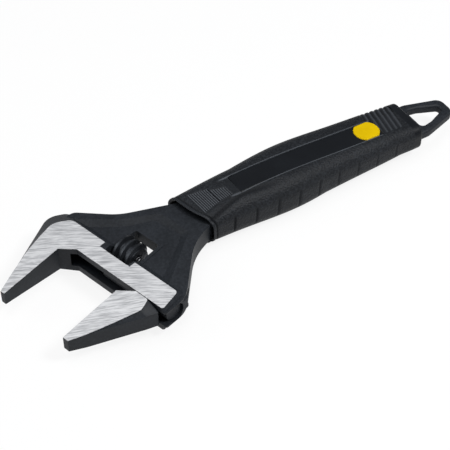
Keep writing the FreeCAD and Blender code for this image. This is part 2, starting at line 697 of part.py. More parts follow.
def cut_thread(body):
    """The thread's groove, in step with the rack's teeth and run out past both ends."""
    rack_tooth = f"(-jaw_opening - outer_tail - {WORM_FOOT})"
    middle = f"(mod({rack_tooth} + worm_pitch / 2 + 100 * worm_pitch; worm_pitch) - 2 * worm_pitch)"
    floor = f"(worm_pitch / 4 - {HALF_FLANK} + flank_fit / 2)"
    mouth = f"(worm_pitch / 4 + {HALF_FLANK} + flank_fit / 2 + tan(flank_angle))"
    groove = [
        ("worm_radius - worm_depth", f"{middle} - {floor}"),
        ("worm_radius + 1", f"{middle} - {mouth}"),
        ("worm_radius + 1", f"{middle} + {mouth}"),
        ("worm_radius - worm_depth", f"{middle} + {floor}"),
    ]
    sketch = outline(body, "groove", groove)
    before = body.Tip.Shape
    thread = body.newObject("PartDesign::SubtractiveHelix", "thread")
    thread.Profile = sketch
    thread.ReferenceAxis = (sketch, ["V_Axis"])
    thread.Mode = "pitch-height-angle"
    bind(thread, "Pitch", "worm_pitch")
    bind(thread, "Height", "worm_length + 4 * worm_pitch")
    doc.recompute()
    require_less("thread", before, thread)


def worm_pin():
    """The pin that the worm turns on, with its slotted head in the head's far end."""
    body = make_body("worm_pin", WORM_AXIS)
    tail = "(-head_length + pin_recess)"
    shoulder = f"({tail} + pin_head_length)"
    end = "(-window_start + pin_seat - pin_end_gap)"
    half = [
        ("0", end),
        ("pin_radius", end),
        ("pin_radius", shoulder),
        ("pin_head_radius", shoulder),
        ("pin_head_radius", tail),
        ("0", tail),
    ]
    sketch = outline(body, "pin_profile", half)
    turned = body.newObject("PartDesign::Revolution", "pin_turned")
    turned.Profile = sketch
    turned.ReferenceAxis = (sketch, ["V_Axis"])
    doc.recompute()
    slot = [
        ("-driver_slot / 2", f"{tail} + driver_depth"),
        ("-driver_slot / 2", f"{tail} - 1"),
        ("driver_slot / 2", f"{tail} - 1"),
        ("driver_slot / 2", f"{tail} + driver_depth"),
    ]
    pocket(body, "driver_slot", outline(body, "driver_slot_outline", slot), "4 * pin_head_radius")
    return body


def worm_spring():
    """The spring between the window's last wall and the worm."""
    spring_foot = f"(-{WINDOW_END} + {SPRING_LIFT})"
    body = make_body("worm_spring", WORM_AXIS, spring_foot)
    length = f"({WORM_FOOT} + spring_pocket - spring_fit - {spring_foot})"
    wire = new_sketch(body, "wire_circle")
    add_circle(wire, "spring_radius", "spring_wire", "spring_wire")
    coil = body.newObject("PartDesign::AdditiveHelix", "coil")
    coil.Profile = wire
    coil.ReferenceAxis = (wire, ["V_Axis"])
    coil.Mode = "height-turns-angle"
    bind(coil, "Height", f"{length} - 2 * spring_wire")
    bind(coil, "Turns", "spring_turns")
    doc.recompute()
    return body


# ---------------------------------------------------------------- grip


def handle_body(name):
    """A body in the handle frame."""
    body = doc.addObject("PartDesign::Body", name)
    body.Label = name
    bind(body, "Placement.Base.y", "-handle_drop")
    return body


def turn_to_jaws(sketch):
    """Turn a sketch of the handle frame so that it is drawn in the jaw frame."""
    bind(sketch, "AttachmentOffset.Base.y", "handle_drop")
    bind(sketch, "AttachmentOffset.Rotation.Angle", "jaw_angle")


def grip_section(body, name, station, inset="0", half_width=None, sink="0"):
    """One section of the grip: a rounded rectangle, drawn in by inset."""
    wide = half_width or f"({station}_half_width - {inset})"
    thick = f"({station}_half_thickness - {inset} - {sink})"
    radius = f"{station}_rounding * {thick}" if not half_width else "0.6"
    along = f"{station}_along" if station != "butt" else "handle_end - butt_along"
    middle = f"{station}_offset" if not half_width else "panel_offset"
    corners = [
        (f"{middle} + {wide}", thick, radius),
        (f"{middle} - {wide}", thick, radius),
        (f"{middle} - {wide}", f"-{thick}", radius),
        (f"{middle} + {wide}", f"-{thick}", radius),
    ]
    return outline(body, f"{name}_{station}", corners, "YZ_Plane", along)


def grip_loft(body, name, kind, stations, **shape):
    """A smooth loft through the grip's stations."""
    before = body.Tip.Shape if body.Tip else None
    sections = [grip_section(body, name, station, **shape) for station in stations]
    feature = body.newObject(f"PartDesign::{kind}", name)
    feature.Profile = sections[0]
    feature.Sections = sections[1:]
    feature.Ruled = False
    doc.recompute()
    if kind == "SubtractiveLoft":
        require_less(name, before, feature)
    return feature


def trim_front(body, setback):
    """Cut the grip's front edge to its slanted curve, set back along the handle."""
    along = f"edge_along + {setback}"
    front = [
        (f"{along} - 25 * tan(edge_turn_upper)", "-edge_across + 25"),
        (along, "-edge_across", "edge_curve"),
        (f"{along} + 25 * tan(edge_turn_lower)", "-edge_across - 25"),
        ("lip_along - 10", "-edge_across - 25"),
        ("lip_along - 10", "-edge_across + 25"),
    ]
    sketch = outline(body, f"{body.Name}_front_edge", front)
    pocket(body, f"{body.Name}_front", sketch, f"{FAR}")


def cut_tang_room(body):
    """Cut the room that the neck, the shank and the loop's root fill."""
    neck = outline(body, f"{body.Name}_neck_outline", plate_corners())
    turn_to_jaws(neck)
    pocket(body, f"{body.Name}_neck_room", neck, "rim_thickness + 2 * tang_fit")
    shank = [
        (f"{NECK_END} - 8", f"-{HALF_SHANK} - tang_fit"),
        ("handle_end - shank_end + tang_fit", f"-{HALF_SHANK} - tang_fit"),
        ("handle_end - shank_end + tang_fit", f"{HALF_SHANK} + tang_fit"),
        (f"{NECK_END} - 8", f"{HALF_SHANK} + tang_fit"),
    ]
    shank_sketch = outline(body, f"{body.Name}_shank_outline", shank)
    pocket(body, f"{body.Name}_shank_room", shank_sketch, "shank_thickness + 2 * tang_fit")


def grip_core():
    """The hard core moulded round the shank, with the raised panels and the smooth end."""
    body = handle_body("grip_core")
    inside = ["lip", "collar", "shoulder", "belly", "waist", "tail", "hem", "butt"]
    grip_loft(body, "core", "AdditiveLoft", inside, inset="skin_thickness")
    panel = {"half_width": "panel_width / 2", "sink": "panel_sink"}
    grip_loft(body, "core_panel", "AdditiveLoft", PANEL_STATIONS, **panel)
    grip_loft(body, "core_end", "AdditiveLoft", ["hem", "butt"])
    fillet(body, "core_end_edges", is_end_edge, "end_rounding")
    trim_front(body, "core_setback")
    cut_tang_room(body)
    root = [
        ("handle_end - shank_end - 5", f"-{HALF_SHANK} - tang_fit"),
        ("handle_end - 9", f"-{HALF_SHANK} - tang_fit", "3"),
        ("handle_end - 4", f"-{HALF_LOOP} - tang_fit", "3"),
        ("handle_end + 5", f"-{HALF_LOOP} - tang_fit"),
    ]
    root_sketch = outline(body, "root_outline", root + [mirrored(corner) for corner in reversed(root)])
    pocket(body, "root_room", root_sketch, "loop_thickness + 2 * tang_fit")
    for side, sign in (("top", ""), ("bottom", "-")):
        seat = outline_inlay(body, f"inlay_seat_{side}", f"{sign}(inlay_level - inlay_depth)", "inlay_fit")
        pocket(body, f"inlay_room_{side}", seat, f"{FAR}", one_way=side == "top")
    return body


def is_end_edge(edge):
    """True for an edge of the grip's end face."""
    end = value("handle_end - butt_along")
    return all(abs(vertex.X - end) < 0.001 for vertex in edge.Vertexes)


def outline_inlay(body, name, lift, room):
    """The inlay's outline, widened by room: a circle with two flats along the handle."""
    sketch = new_sketch(body, name, "XY_Plane", lift)
    bind(sketch, "AttachmentOffset.Base.y", "panel_offset")
    radius = f"(inlay_radius + {room})"
    flat = f"(inlay_flat + {room})"
    half_flat = f"sqrt({radius} * {radius} - {flat} * {flat})"
    add_flatted_circle(sketch, "inlay_along", radius, flat, half_flat)
    return sketch


def add_flatted_circle(sketch, along, radius, flat, half_flat):
    """Draw a circle cut off by two flats parallel to x."""
    centre = Vector(value(along), 0, 0)
    turn = math.atan2(value(flat), value(half_flat))
    circle = Part.Circle(centre, Vector(0, 0, 1), value(radius))
    right = sketch.addGeometry(Part.ArcOfCircle(circle, -turn, turn), False)
    left = sketch.addGeometry(Part.ArcOfCircle(circle, math.pi - turn, math.pi + turn), False)
    ends = [centre + Vector(x, y, 0) for x, y in corner_pairs(value(half_flat), value(flat))]
    top = sketch.addGeometry(Part.LineSegment(ends[0], ends[1]), False)
    bottom = sketch.addGeometry(Part.LineSegment(ends[2], ends[3]), False)
    for first, first_end, second, second_end in (
        (right, 2, top, 1), (top, 2, left, 1), (left, 2, bottom, 1), (bottom, 2, right, 1)
    ):
        sketch.addConstraint(Sketcher.Constraint("Coincident", first, first_end, second, second_end))
    sketch.addConstraint(Sketcher.Constraint("Coincident", right, 3, left, 3))
    sketch.addConstraint(Sketcher.Constraint("PointOnObject", right, 3, -1))
    sketch.addConstraint(Sketcher.Constraint("Horizontal", top))
    sketch.addConstraint(Sketcher.Constraint("Horizontal", bottom))
    sketch.addConstraint(Sketcher.Constraint("Equal", right, left))
    dimension(sketch, Sketcher.Constraint("DistanceX", -1, 1, right, 3, centre.x), along)
    dimension(sketch, Sketcher.Constraint("Radius", right, value(radius)), radius)
    dimension(sketch, Sketcher.Constraint("DistanceY", -1, 1, top, 1, value(flat)), flat)
    dimension(sketch, Sketcher.Constraint("DistanceY", bottom, 1, -1, 1, value(flat)), flat)


def corner_pairs(x, y):
    """The four corners of a box about its centre, counter-clockwise from the first quarter."""
    return [(x, y), (-x, y), (-x, -y), (x, -y)]


def grip_skin():
    """The soft skin round the core, open over the panels."""
    body = handle_body("grip_skin")
    outside = ["lip", "collar", "shoulder", "belly", "waist", "tail", "hem"]
    grip_loft(body, "skin", "AdditiveLoft", outside)
    trim_front(body, "0")
    cut_tang_room(body)
    cut_core_room(body)
    return body


def cut_core_room(body):
    """Cut the core and its panels out of the skin."""
    inside = ["lip", "collar", "shoulder", "belly", "waist", "tail", "hem", "butt"]
    grip_loft(body, "core_room", "SubtractiveLoft", inside, inset="(skin_thickness - skin_fit)")
    panel = {"half_width": "(panel_width / 2 + skin_fit)", "sink": "-1"}
    grip_loft(body, "panel_room", "SubtractiveLoft", PANEL_STATIONS, **panel)


def inlay(side, sign, is_rim):
    """A flush inlay at the grip's end, on one side."""
    body = handle_body(f"inlay_{side}")
    lift = f"{sign}(inlay_level - inlay_depth / 2)"
    pad(body, f"inlay_{side}_disc", outline_inlay(body, f"inlay_{side}_outline", lift, "0"), "inlay_depth")
    fillet(body, f"inlay_{side}_edge", is_rim, "inlay_rounding")
    return body


def is_top_rim(edge):
    """True for an edge of the top inlay's outer face."""
    return all(abs(vertex.Z - value("inlay_level")) < 0.001 for vertex in edge.Vertexes)


def is_bottom_rim(edge):
    """True for an edge of the bottom inlay's outer face."""
    return all(abs(vertex.Z + value("inlay_level")) < 0.001 for vertex in edge.Vertexes)


def check(pieces):
    """Stop if any object failed or any piece has no valid solid."""
    doc.recompute()
    failed = [item.Name for item in doc.Objects if {"Invalid", "Error"} & set(item.State)]
    if failed:
        raise RuntimeError(f"failed: {failed}")
    for piece in pieces:
        if piece.Shape.isNull() or not piece.Shape.isValid() or len(piece.Shape.Solids) != 1:
            raise RuntimeError(f"{piece.Label} is not one valid solid")


def write_steps(pieces):
    """Write each piece to a file of its own."""
    os.makedirs("parts", exist_ok=True)
    for piece in pieces:
        piece.Shape.exportStep(f"parts/{piece.Label}.step")


def main():
    """Build every piece, check them all and write them."""
    fill_sheet()
    pieces = [
        forged_body(),
        movable_jaw(),
        adjusting_worm(),
        worm_pin(),
        worm_spring(),
        grip_core(),
        grip_skin(),
        inlay("top", "", is_top_rim),
        inlay("bottom", "-", is_bottom_rim),
    ]
    check(pieces)
    write_steps(pieces)
    for piece in pieces:
        print(f"{piece.Label}: {piece.Shape.Volume:.1f} mm3")


main()
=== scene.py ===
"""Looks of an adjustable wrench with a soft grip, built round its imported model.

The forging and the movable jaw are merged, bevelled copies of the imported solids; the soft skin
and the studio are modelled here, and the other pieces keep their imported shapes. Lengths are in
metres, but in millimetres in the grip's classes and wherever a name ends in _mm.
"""

import json
import logging
import math
from dataclasses import dataclass, field
from enum import Enum
from typing import Any, Callable, Sequence

import bpy
import numpy as np
from mathutils import Matrix, Vector

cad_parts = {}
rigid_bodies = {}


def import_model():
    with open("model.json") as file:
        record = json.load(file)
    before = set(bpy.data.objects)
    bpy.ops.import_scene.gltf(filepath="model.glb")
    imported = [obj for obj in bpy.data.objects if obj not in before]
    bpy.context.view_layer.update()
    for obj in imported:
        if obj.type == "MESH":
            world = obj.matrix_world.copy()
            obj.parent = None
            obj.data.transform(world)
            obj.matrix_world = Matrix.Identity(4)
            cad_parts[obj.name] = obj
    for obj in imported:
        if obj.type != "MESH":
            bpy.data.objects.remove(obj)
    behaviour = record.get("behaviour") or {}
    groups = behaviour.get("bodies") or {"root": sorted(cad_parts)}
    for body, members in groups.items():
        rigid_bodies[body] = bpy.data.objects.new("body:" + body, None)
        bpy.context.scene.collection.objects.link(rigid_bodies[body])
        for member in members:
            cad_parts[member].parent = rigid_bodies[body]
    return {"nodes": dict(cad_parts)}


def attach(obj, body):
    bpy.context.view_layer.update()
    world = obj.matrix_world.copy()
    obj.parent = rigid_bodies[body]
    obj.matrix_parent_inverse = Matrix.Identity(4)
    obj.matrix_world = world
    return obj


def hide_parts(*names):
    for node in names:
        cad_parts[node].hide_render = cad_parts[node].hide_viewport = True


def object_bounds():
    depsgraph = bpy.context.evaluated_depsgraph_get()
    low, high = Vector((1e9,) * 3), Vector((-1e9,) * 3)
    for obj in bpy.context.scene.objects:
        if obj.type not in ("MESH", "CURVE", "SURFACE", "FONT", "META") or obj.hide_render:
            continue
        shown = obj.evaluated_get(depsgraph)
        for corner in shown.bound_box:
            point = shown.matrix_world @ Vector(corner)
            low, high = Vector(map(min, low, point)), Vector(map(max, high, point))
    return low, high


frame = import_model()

log = logging.getLogger("wrench")
CAD_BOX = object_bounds()
MM = 0.001
JAW_TURN = math.radians(17.0)


# ---------------------------------------------------------------- shader maths


class Signal:
    """A node socket that adds Math nodes when it is used in an expression."""

    def __init__(self, graph: "Graph", socket: bpy.types.NodeSocket) -> None:
        """Wrap a socket.

        Args:
            graph: The graph that the socket belongs to.
            socket: An output socket.
        """
        self.graph = graph
        self.socket = socket

    def _math(self, operation: str, *others: Any) -> "Signal":
        """Add one Math node of this operation."""
        return self.graph.node("ShaderNodeMath", {"operation": operation}, [self, *others])

    def __add__(self, other: Any) -> "Signal":
        """Sum."""
        return self._math("ADD", other)

    def __sub__(self, other: Any) -> "Signal":
        """Difference."""
        return self._math("SUBTRACT", other)

    def __rsub__(self, other: float) -> "Signal":
        """Difference from a number."""
        return self.graph.node("ShaderNodeMath", {"operation": "SUBTRACT"}, [other, self])

    def __mul__(self, other: Any) -> "Signal":
        """Product."""
        return self._math("MULTIPLY", other)

    __radd__ = __add__
    __rmul__ = __mul__

    def above(self, low: float, high: float) -> "Signal":
        """A smooth step from 0 at low to 1 at high."""
        settings = {"interpolation_type": "SMOOTHSTEP"}
        inputs = {"Value": self, "From Min": low, "From Max": high}
        return self.graph.node("ShaderNodeMapRange", settings, inputs)

    def below(self, low: float, high: float) -> "Signal":
        """A smooth step from 1 at low to 0 at high."""
        return 1 - self.above(low, high)

    def larger(self, other: Any) -> "Signal":
        """The larger of the two."""
        return self._math("MAXIMUM", other)

    def size(self) -> "Signal":
        """The value without its sign."""
        return self._math("ABSOLUTE")


class Graph:
    """The node tree of one material."""

    def __init__(self, name: str) -> None:
        """Start a material with a Principled shader.

        Args:
            name: The material's name.
        """
        self.material = bpy.data.materials.new(name)
        self.material.use_nodes = True
        self.tree = self.material.node_tree
        self.shader = self.tree.nodes["Principled BSDF"]

    def node(self, kind: str, settings: dict[str, Any], inputs: Any, output: Any = 0) -> Signal:
        """Add a node, set it and connect its inputs.

        Args:
            kind: The node's type.
            settings: Properties, set first.
            inputs: Values or signals, as a list by place or a dict by socket name or place.
            output: Name or place of the output to return.

        Returns:
            The chosen output.
        """
        made = self.tree.nodes.new(kind)
        for key, value in settings.items():
            setattr(made, key, value)
        pairs = inputs.items() if isinstance(inputs, dict) else enumerate(inputs)
        for key, value in pairs:
            if isinstance(value, Signal):
                self.tree.links.new(value.socket, made.inputs[key])
            else:
                made.inputs[key].default_value = value
        return Signal(self, made.outputs[output])

    def place(self) -> Signal:
        """Object coordinates, in metres."""
        return self.node("ShaderNodeTexCoord", {}, [], "Object")

    def axes(self, turn: float = 0.0) -> tuple[Signal, Signal, Signal]:
        """Object coordinates in millimetres as three signals.

        Args:
            turn: Angle about Z of the frame to read them in.

        Returns:
            The three coordinates.
        """
        settings = {"vector_type": "POINT"}
        scale = 1 / MM
        turned = self.node("ShaderNodeMapping", settings, {
            "Vector": self.place(), "Rotation": (0, 0, -turn), "Scale": (scale, scale, scale)})
        return self.split(turned)

    def facing(self) -> tuple[Signal, Signal, Signal]:
        """The surface normal in object space as three signals."""
        return self.split(self.node("ShaderNodeTexCoord", {}, [], "Normal"))

    def split(self, vector: Signal) -> tuple[Signal, Signal, Signal]:
        """The three numbers of a vector as signals."""
        parts = self.tree.nodes.new("ShaderNodeSeparateXYZ")
        self.tree.links.new(vector.socket, parts.inputs[0])
        return tuple(Signal(self, parts.outputs[place]) for place in range(3))

    def noise(self, scale: float, detail: float = 2.0, roughness: float = 0.5,
              stretch: Sequence[float] = (1, 1, 1), turn: float = 0.0) -> Signal:
        """Fractal noise on object coordinates.

        Args:
            scale: Features per metre.
            detail: Octaves.
            roughness: Share of each finer octave.
            stretch: Scale along each axis.
            turn: Angle about Z of the stretched axes.

        Returns:
            The noise, about 0 to 1.
        """
        place = self.node("ShaderNodeMapping", {"vector_type": "POINT"}, {
            "Vector": self.place(), "Rotation": (0, 0, -turn)})
        drawn = self.node("ShaderNodeVectorMath", {"operation": "MULTIPLY"}, [place, tuple(stretch)])
        inputs = {"Vector": drawn, "Scale": scale, "Detail": detail, "Roughness": roughness}
        return self.node("ShaderNodeTexNoise", {"noise_dimensions": "3D"}, inputs, "Fac")

    def cells(self, scale: float) -> Signal:
        """Softened distance to the nearest cell's middle, on object coordinates."""
        inputs = {"Vector": self.place(), "Scale": scale}
        return self.node("ShaderNodeTexVoronoi", {"feature": "SMOOTH_F1"}, inputs, "Distance")

    def blend(self, share: Signal, first: Any, second: Any) -> Signal:
        """Mix two colours.

        Args:
            share: 0 for the first colour, 1 for the second.
            first: A colour or a signal.
            second: A colour or a signal.

        Returns:
            The mixed colour.
        """
        inputs = {0: share, 6: as_colour(first), 7: as_colour(second)}
        return self.node("ShaderNodeMix", {"data_type": "RGBA"}, inputs, 2)

    def bump(self, height: Signal, distance_mm: float, strength: float = 1.0) -> None:
        """Drive the shader's normal from a height.

        Args:
            height: The height, 0 to 1.
            distance_mm: Millimetres for a height of 1.
            strength: Share of the effect.
        """
        inputs = {"Strength": strength, "Distance": distance_mm * MM, "Height": height}
        self.drive("Normal", self.node("ShaderNodeBump", {}, inputs, "Normal"))

    def drive(self, name: str, signal: Signal) -> None:
        """Connect a signal to the shader."""
        self.tree.links.new(signal.socket, self.shader.inputs[name])

    def fix(self, **values: float) -> None:
        """Set the shader's own plain values, named with _ for a space."""
        for name, value in values.items():
            self.shader.inputs[name.replace("_", " ")].default_value = value


def as_colour(value: Any) -> Any:
    """Give a three-number colour its fourth number."""
    return value if isinstance(value, Signal) else (*value, 1.0)


# ---------------------------------------------------------------- finishes


@dataclass(frozen=True)
class ForgedFinish:
    """Blackened forging with ground, brushed faces on the jaws."""

    name: str
    black: tuple[float, float, float] = (0.0100, 0.0118, 0.0148)
    worn: tuple[float, float, float] = (0.021, 0.0245, 0.0300)
    ground: tuple[float, float, float] = (0.73, 0.735, 0.745)
    ground_dark: tuple[float, float, float] = (0.385, 0.39, 0.405)
    brush_turn: float = math.radians(-31)
    reach_mm: float = 38.7
    tip_half_mm: float = 3.6
    half_mm: float = 7.35
    step_in: bool = False
    step_along_mm: float = 27.75
    step_across_mm: tuple[float, float] = (-33.2, -13.7)
    step_soft_mm: tuple[float, float] = (0.1, 0.2)

    def build(self) -> bpy.types.Material:
        """Make the material.

        Returns:
            The material.
        """
        graph = Graph(self.name)
        mask = self.ground_mask(graph)
        streak = graph.noise(90, 3, 0.6, (1, 15, 1), self.brush_turn)
        fine = graph.noise(190, 2, 0.6, (1, 16, 1), self.brush_turn)
        brushed = (streak * 0.5 + fine * 0.5).above(0.36, 0.6)
        scale = graph.noise(900, 3, 0.6)
        cloud = graph.noise(60, 2, 0.5)
        steel = graph.blend(brushed, self.ground_dark, self.ground)
        black = graph.blend((scale * 0.6 + cloud * 0.4).above(0.35, 0.7), self.black, self.worn)
        graph.drive("Base Color", graph.blend(mask, black, steel))
        graph.drive("Roughness", mask * (0.36 + brushed * 0.12) + (1 - mask) * (0.44 + scale * 0.16))
        graph.drive("Metallic", mask * 0.35)
        rough_cast = (1 - mask) * (scale * 0.75 + cloud * 0.25)
        graph.bump(rough_cast + mask * (brushed * 0.35), 0.05)
        graph.fix(Specular_IOR_Level=0.2)
        return graph.material

    def ground_mask(self, graph: Graph) -> Signal:
        """Where the grinding wheel has passed: the flat outer faces of the jaw.

        Args:
            graph: The material's graph.

        Returns:
            1 on ground metal, 0 on black.
        """
        along, across, height = graph.axes(JAW_TURN)
        flat = graph.facing()[2].size().above(0.955, 0.985)
        slope = (self.half_mm - self.tip_half_mm) / self.reach_mm
        level = (along + self.reach_mm / 2) * slope + self.tip_half_mm
        capped = graph.node("ShaderNodeMath", {"operation": "MINIMUM"}, [level, self.half_mm])
        top = (height.size() - capped).above(-0.35, -0.2)
        mask = flat * top
        if self.step_in:
            low, high = self.step_across_mm
            soft_along, soft = self.step_soft_mm
            past = along.above(self.step_along_mm - soft_along, self.step_along_mm + soft_along)
            beside = across.above(low - soft, low + soft) * across.below(high - soft, high + soft)
            mask = mask * (1 - past * beside)
        return mask


@dataclass(frozen=True)
class DarkSteel:
    """Plain oiled steel of the worm, its pin and spring."""

    name: str
    deep: tuple[float, float, float] = (0.012, 0.014, 0.017)
    bright: tuple[float, float, float] = (0.062, 0.069, 0.079)
    rough: float = 0.34
    metallic: float = 0.7
    lay: tuple[float, float, float] = (1, 1, 1)

    def build(self) -> bpy.types.Material:
        """Make the material.

        Returns:
            The material.
        """
        graph = Graph(self.name)
        grain = graph.noise(1400, 3, 0.6, self.lay, JAW_TURN)
        cloud = graph.noise(160, 2, 0.5)
        shade = (grain * 0.5 + cloud * 0.5).above(0.35, 0.68)
        graph.drive("Base Color", graph.blend(shade, self.deep, self.bright))
        graph.drive("Roughness", grain * 0.2 + (self.rough - 0.1))
        graph.bump(grain, 0.02)
        graph.fix(Metallic=self.metallic)
        return graph.material


@dataclass(frozen=True)
class HardGrip:
    """Smooth, hard moulded plastic of the panels and the grip's end."""

    name: str
    deep: tuple[float, float, float] = (0.0042, 0.0052, 0.0070)
    bright: tuple[float, float, float] = (0.0072, 0.0088, 0.0112)

    def build(self) -> bpy.types.Material:
        """Make the material.

        Returns:
            The material.
        """
        graph = Graph(self.name)
        spark = graph.noise(3200, 2, 0.6)
        cloud = graph.noise(45, 3, 0.55)
        shade = (spark * 0.4 + cloud * 0.6).above(0.35, 0.65)
        graph.drive("Base Color", graph.blend(shade, self.deep, self.bright))
        graph.drive("Roughness", spark * 0.14 + cloud * 0.06 + 0.33)
        graph.bump(spark, 0.012)
        graph.fix(Specular_IOR_Level=0.2)
        return graph.material


@dataclass(frozen=True)
class SoftGrip:
    """Matt, leather-grained soft skin, smooth on its ridges and ribs, with painted shade in its hollows and
    a painted highlight on its crests and panel edges.
    """

    name: str
    deep: tuple[float, float, float] = (0.0055, 0.0066, 0.0085)
    bright: tuple[float, float, float] = (0.021, 0.0245, 0.0295)
    painted_highlight_colour: tuple[float, float, float] = (0.105, 0.115, 0.130)
    grain_per_m: float = 1150

    def build(self) -> bpy.types.Material:
        """Make the material.

        Returns:
            The material.
        """
        graph = Graph(self.name)
        smooth = graph.node("ShaderNodeAttribute", {"attribute_name": "smooth"}, [], "Fac")
        leather = graph.cells(self.grain_per_m).above(0.08, 0.75)
        crease = graph.noise(820, 3, 0.6)
        grain = (leather * 0.6 + crease * 0.4) * (1 - smooth * 0.85)
        cloud = graph.noise(38, 3, 0.55)
        # Where the relief is sunk the colour is darkened: painted shade in the grooves and hollows.
        painted_hollow_shade = graph.node("ShaderNodeAttribute", {"attribute_name": "painted_hollow_shade"}, [], "Fac")
        shade = (grain * 0.5 + cloud * 0.4 + smooth * 0.28).above(0.25, 0.85) * (1 - painted_hollow_shade)
        # The crests of the ridges and ribs and the panel edges are lighter: a painted highlight.
        painted_highlight = graph.node("ShaderNodeAttribute", {"attribute_name": "painted_highlight"}, [], "Fac")
        skin = graph.blend(shade, self.deep, self.bright)
        graph.drive("Base Color", graph.blend(painted_highlight, skin, self.painted_highlight_colour))
        graph.drive("Roughness", grain * 0.12 + cloud * 0.08 + painted_hollow_shade * 0.2 + 0.46)
        graph.bump(grain, 0.24)
        graph.fix(Specular_IOR_Level=0.22)
        return graph.material


@dataclass(frozen=True)
class InlayFinish:
    """Bright yellow moulded plastic."""

    name: str
    deep: tuple[float, float, float] = (0.58, 0.385, 0.0)
    bright: tuple[float, float, float] = (0.65, 0.44, 0.0)

    def build(self) -> bpy.types.Material:
        """Make the material.

        Returns:
            The material.
        """
        graph = Graph(self.name)
        cloud = graph.noise(180, 3, 0.5)
        spark = graph.noise(2600, 2, 0.6)
        graph.drive("Base Color", graph.blend(cloud.above(0.3, 0.7), self.deep, self.bright))
        graph.drive("Roughness", spark * 0.12 + 0.42)
        graph.bump(spark, 0.012)
        graph.fix(Specular_IOR_Level=0.08)
        return graph.material


class Finish(Enum):
    """The named finishes of the wrench."""

    BODY = ForgedFinish("blackened_forging", step_in=True)
    JAW = ForgedFinish("blackened_jaw", brush_turn=math.radians(-23))
    WORM = DarkSteel("worm_steel", lay=(6, 1, 6))
    PIN = DarkSteel("pin_steel", bright=(0.11, 0.115, 0.12), rough=0.32)
    SPRING = DarkSteel("spring_steel", bright=(0.2, 0.2, 0.21), rough=0.28, metallic=0.9)
    CORE = HardGrip("hard_grip")
    SKIN = SoftGrip("soft_grip")
    INLAY = InlayFinish("yellow_inlay")


# ---------------------------------------------------------------- work on meshes


def select_only(piece: bpy.types.Object) -> None:
    """Make a piece the only one selected, and active."""
    for other in bpy.context.view_layer.objects:
        other.select_set(False)
    piece.hide_viewport = False
    piece.select_set(True)
    bpy.context.view_layer.objects.active = piece


def in_edit_mode(piece: bpy.types.Object, *steps: Callable[[], Any]) -> None:
    """Run operators on the whole of a piece in edit mode.

    Args:
        piece: The piece.
        steps: Calls to run with everything selected.
    """
    select_only(piece)
    bpy.ops.object.mode_set(mode="EDIT")
    bpy.ops.mesh.select_all(action="SELECT")
    for step in steps:
        step()
    bpy.ops.object.mode_set(mode="OBJECT")


def apply_modifier(piece: bpy.types.Object, kind: str, **settings: Any) -> None:
    """Add a modifier, set it and apply it.

    Args:
        piece: The piece.
        kind: The modifier's type.
        settings: Its properties.
    """
    select_only(piece)
    modifier = piece.modifiers.new(kind.title(), kind)
    for name, value in settings.items():
        setattr(modifier, name, value)
    bpy.ops.object.modifier_apply(modifier=modifier.name)


def smooth_by_angle(piece: bpy.types.Object, degrees: float) -> None:
    """Shade a piece smooth, with edges sharper than the angle kept."""
    select_only(piece)
    bpy.ops.object.shade_smooth_by_angle(angle=math.radians(degrees))


def merged_copy(node: str, name: str) -> bpy.types.Object:
    """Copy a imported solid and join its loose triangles.

    Args:
        node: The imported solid's name.
        name: The copy's name.

    Returns:
        The copy, with flat faces in one piece each.
    """
    source = frame["nodes"][node]
    copy = bpy.data.objects.new(name, source.data.copy())
    bpy.context.scene.collection.objects.link(copy)
    copy.data.materials.clear()
    in_edit_mode(
        copy,
        lambda: bpy.ops.mesh.customdata_custom_splitnormals_clear(),
        lambda: bpy.ops.mesh.remove_doubles(threshold=2e-6),
        lambda: bpy.ops.mesh.dissolve_limited(angle_limit=math.radians(0.6)),
    )
    return copy


def dress(piece: bpy.types.Object, finish: Finish, made: dict[Finish, bpy.types.Material]) -> None:
    """Give a piece its material in every slot.

    Args:
        piece: The piece.
        finish: The finish.
        made: The materials made so far.
    """
    if finish not in made:
        made[finish] = finish.value.build()
    if not piece.data.materials:
        piece.data.materials.append(made[finish])
    for place in range(len(piece.material_slots)):
        piece.material_slots[place].material = made[finish]


def settle(piece: bpy.types.Object, body: str, slot: str, *nodes: str) -> None:
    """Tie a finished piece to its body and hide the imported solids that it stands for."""
    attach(piece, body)
    if nodes:
        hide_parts(*nodes)


# ---------------------------------------------------------------- metal


@dataclass
class MetalWork:
    """The forging, the movable jaw, the worm, its pin and spring."""

    made: dict[Finish, bpy.types.Material]
    edge_mm: float = 0.45
    jaw_edge_mm: float = 0.35
    edge_angle: float = 22.0
    smooth_angle: float = 32.0

    def build(self) -> None:
        """Make and dress every metal piece."""
        self.bevelled("forged_body", "forging", "body", Finish.BODY, "forged_steel", self.edge_mm)
        self.bevelled("movable_jaw", "sliding_jaw", "jaw", Finish.JAW, "jaw_steel", self.jaw_edge_mm)
        small = {"adjusting_worm": Finish.WORM, "worm_pin": Finish.PIN, "worm_spring": Finish.SPRING}
        for node, finish in small.items():
            dress(frame["nodes"][node], finish, self.made)
            log.info("dressed %s", node)

    def bevelled(self, node: str, name: str, body: str, finish: Finish, slot: str,
                 width_mm: float) -> None:
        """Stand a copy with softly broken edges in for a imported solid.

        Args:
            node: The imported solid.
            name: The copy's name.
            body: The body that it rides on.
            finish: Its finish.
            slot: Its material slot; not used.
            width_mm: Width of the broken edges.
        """
        piece = merged_copy(node, name)
        apply_modifier(
            piece, "BEVEL", width=width_mm * MM, segments=2, limit_method="ANGLE",
            angle_limit=math.radians(self.edge_angle), use_clamp_overlap=True, harden_normals=False)
        smooth_by_angle(piece, self.smooth_angle)
        apply_modifier(piece, "WEIGHTED_NORMAL", mode="FACE_AREA", weight=100, keep_sharp=True)
        dress(piece, finish, self.made)
        settle(piece, body, slot, node)
        log.info("made %s: %d faces", name, len(piece.data.polygons))


# ---------------------------------------------------------------- grip


